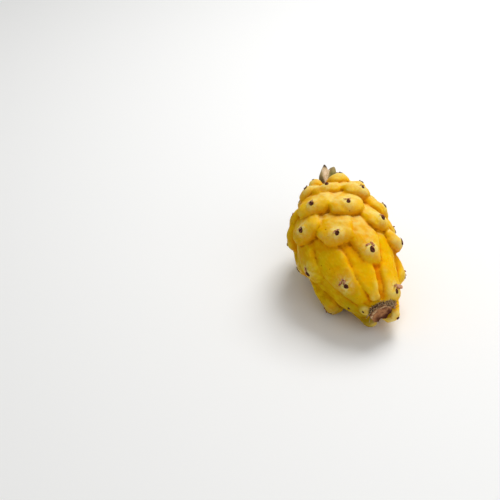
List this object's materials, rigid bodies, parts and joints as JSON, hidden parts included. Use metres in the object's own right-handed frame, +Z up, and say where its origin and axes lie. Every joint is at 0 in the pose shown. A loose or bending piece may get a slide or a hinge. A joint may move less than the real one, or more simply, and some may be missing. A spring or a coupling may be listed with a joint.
{
  "type": "yellow dragon fruit",
  "caption": "Whole yellow dragon fruit lying on its side: tapered egg of spiral tubercles with areole pads, cut winged stem stub and dried flower scar.",
  "frame": {"origin": "centre of the bounding box on the surface the fruit lies on", "axes": "+Z up, +X along the fruit from the stem end to the flower end, which is tipped 17 degrees down"},
  "size_m": [0.1152, 0.07, 0.0714],
  "materials": {
    "skin": "waxy yellow fruit skin, softly glossy",
    "stem": "cut grey-green stem with a dry pale face",
    "scar": "dried brown flower scar"
  },
  "bodies": {
    "root": {"fruit": "skin", "stem_stub": "stem", "flower_scar": "scar"}
  },
  "joints": []
}
